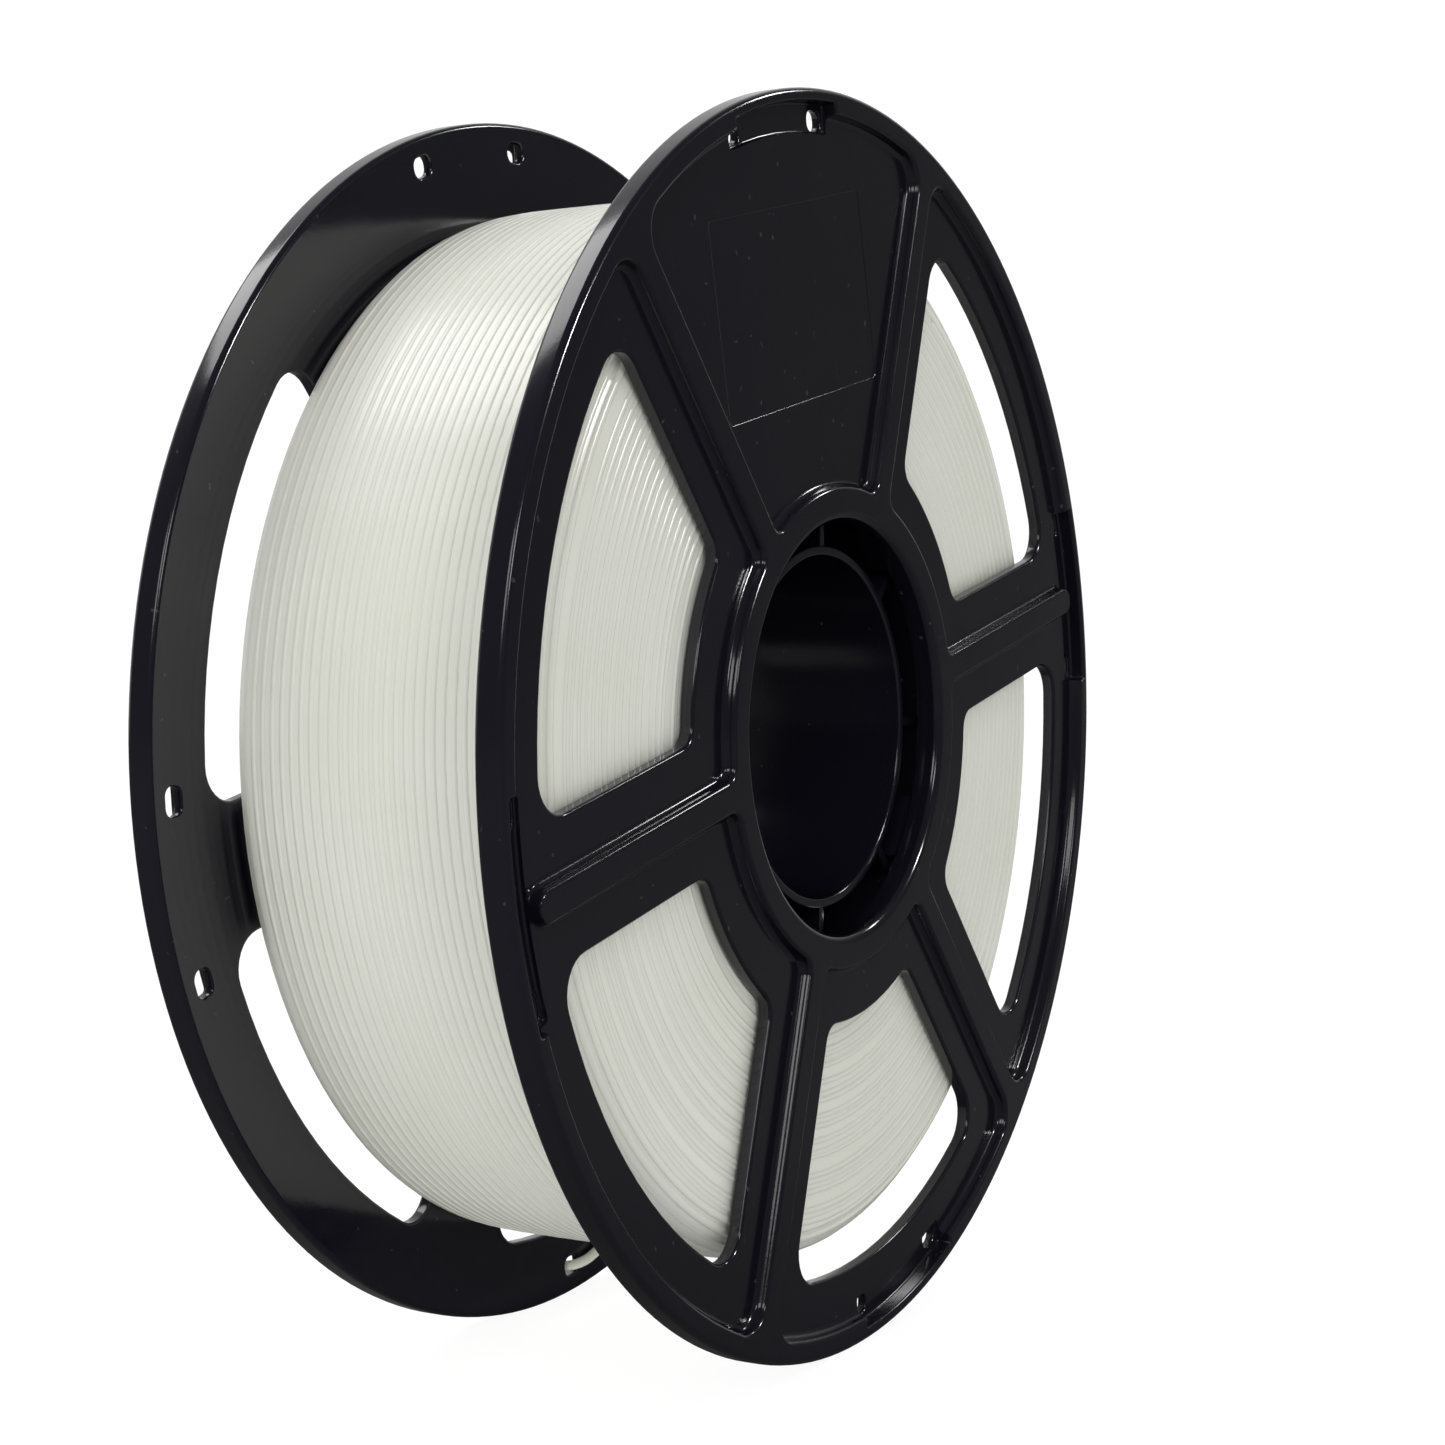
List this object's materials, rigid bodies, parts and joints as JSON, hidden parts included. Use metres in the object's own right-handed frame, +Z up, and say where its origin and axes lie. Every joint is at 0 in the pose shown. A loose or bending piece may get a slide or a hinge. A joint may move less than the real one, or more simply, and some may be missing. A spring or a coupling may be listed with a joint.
{
  "type": "filament spool",
  "caption": "Spool of 3D-printing filament: two windowed flanges snapped onto a ribbed hub core, wound with translucent filament whose free end is tucked in a slot.",
  "frame": {"origin": "centre of the spool, on its axis, halfway between the flanges' outer faces", "axes": "+Y along the spool's axis towards the rear flange, +Z up as it stands on its rims"},
  "size_m": [0.2, 0.063, 0.2],
  "materials": {
    "black_moulding": "black ABS, glossy moulded",
    "natural_filament": "translucent natural filament, satin"
  },
  "bodies": {
    "root": {"front_flange": "black_moulding", "rear_flange": "black_moulding", "hub_core": "black_moulding", "filament_winding": "natural_filament", "filament_end": "natural_filament"}
  },
  "joints": []
}
